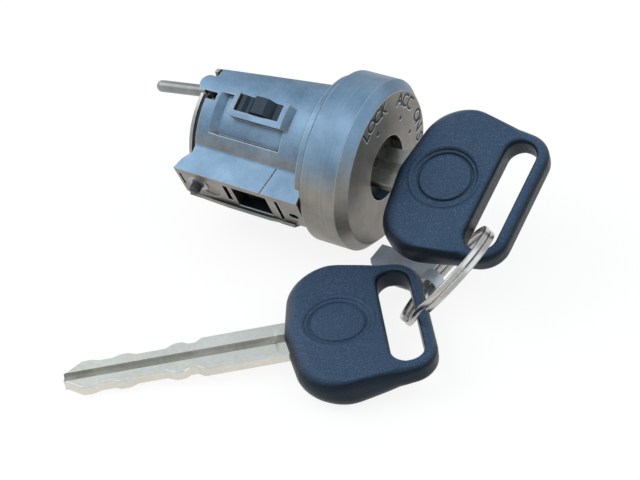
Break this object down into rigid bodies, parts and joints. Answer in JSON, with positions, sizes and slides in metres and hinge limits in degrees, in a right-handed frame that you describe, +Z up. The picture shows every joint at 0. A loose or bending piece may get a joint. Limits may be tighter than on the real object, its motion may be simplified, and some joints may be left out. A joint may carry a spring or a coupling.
{
  "type": "ignition switch",
  "caption": "Ignition lock cylinder with round head, side rail, stop pin and interlock rod; the inserted key turns its wafer rotor, and a split ring carries a folded tag and a spare key.",
  "frame": {"origin": "on the lock's axis, in the plane at the back of the round head, where the head seats", "axes": "+X along the lock's axis, out of the face toward the key; +Z up as it lies on the table; +Y away from the rail side"},
  "size_m": [0.0838, 0.0853, 0.036],
  "materials": {
    "die_cast_zinc": "satin zinc die casting, bluish, fine cast grain",
    "black_rubber": "matt black",
    "grey_steel": "dull grey plated steel",
    "bright_steel": "bright drawn steel",
    "dark_steel": "dark oiled steel",
    "dull_brass": "dull brass",
    "wafer_brass": "stamped brass",
    "black_plastic": "black moulded plastic",
    "nickel_silver": "milled nickel silver",
    "bow_plastic": "black plastic with a fine grain",
    "ring_steel": "plated spring steel",
    "tag_metal": "thin plated sheet, blue-grey"
  },
  "bodies": {
    "case": {"cylinder_case": "die_cast_zinc", "rear_gasket": "black_rubber", "rear_plate": "grey_steel", "rail_cover": "grey_steel", "cover_rivets": "bright_steel", "stop_pin_bush": "dull_brass", "stop_pin_spring": "bright_steel", "reminder_pin": "bright_steel", "lever_pin": "bright_steel", "rod_spring": "bright_steel"},
    "rotor": {"rotor": "dull_brass", "rotor_clip": "dark_steel", "wafer_1": "wafer_brass", "wafer_2": "wafer_brass", "wafer_3": "wafer_brass", "wafer_4": "wafer_brass", "wafer_5": "wafer_brass", "wafer_6": "wafer_brass", "wafer_7": "wafer_brass", "wafer_8": "wafer_brass", "wafer_springs": "bright_steel"},
    "key": {"key_blade": "nickel_silver", "key_bow": "bow_plastic"},
    "ring": {"split_ring": "ring_steel"},
    "tag": {"key_tag": "tag_metal"},
    "spare_key": {"spare_key_blade": "nickel_silver", "spare_key_bow": "bow_plastic"},
    "stop_pin": {"stop_pin": "dark_steel"},
    "reminder_lever": {"reminder_lever": "black_plastic"},
    "rod": {"interlock_rod": "grey_steel"},
    "interlock_lever": {"interlock_lever": "dark_steel"}
  },
  "joints": [
    {"name": "rotor_turn", "type": "hinge", "parent": "case", "child": "rotor", "pos_m": [0, 0, 0], "axis": [-1, 0, 0], "range_deg": [-23, 43]},
    {"name": "key_slide", "type": "slide", "parent": "rotor", "child": "key", "axis": [1, 0, 0], "range_m": [0, 0.045]},
    {"name": "ring_swing", "type": "hinge", "parent": "key", "child": "ring", "pos_m": [0.03575, -0.00711, -0.00237], "axis": [-1, 0, 0], "range_deg": [-14, 25]},
    {"name": "tag_swing", "type": "hinge", "parent": "ring", "child": "tag", "pos_m": [0.02567, -0.01214, -0.01553], "axis": [0, 1, 0], "range_deg": [0, 20]},
    {"name": "spare_key_swing", "type": "hinge", "parent": "ring", "child": "spare_key", "pos_m": [0.02999, -0.02328, -0.01261], "axis": [-0.5976, 0.8018, 0], "range_deg": [0, 25]},
    {"name": "stop_pin_press", "type": "slide", "parent": "case", "child": "stop_pin", "axis": [0, 0.9291, 0.3697], "range_m": [0, 0.002], "stiffness_N_per_m": 300, "springref_m": -0.002, "deforming": ["stop_pin_spring"]},
    {"name": "reminder_rock", "type": "hinge", "parent": "case", "child": "reminder_lever", "pos_m": [-0.0138, -0.00654, 0.01089], "axis": [0, 0.8572, 0.515], "range_deg": [-4, 4], "stiffness_Nm_per_rad": 0.01},
    {"name": "rod_press", "type": "slide", "parent": "case", "child": "rod", "axis": [0.9877, 0, 0.1564], "range_m": [0, 0.002], "stiffness_N_per_m": 200, "springref_m": -0.002, "deforming": ["rod_spring"]},
    {"name": "interlock_swing", "type": "hinge", "parent": "case", "child": "interlock_lever", "pos_m": [-0.0144, -0.01376, -0.00248], "axis": [0, -0.3697, 0.9291], "range_deg": [0, 5], "stiffness_Nm_per_rad": 0.01, "springref_deg": -11.46}
  ]
}
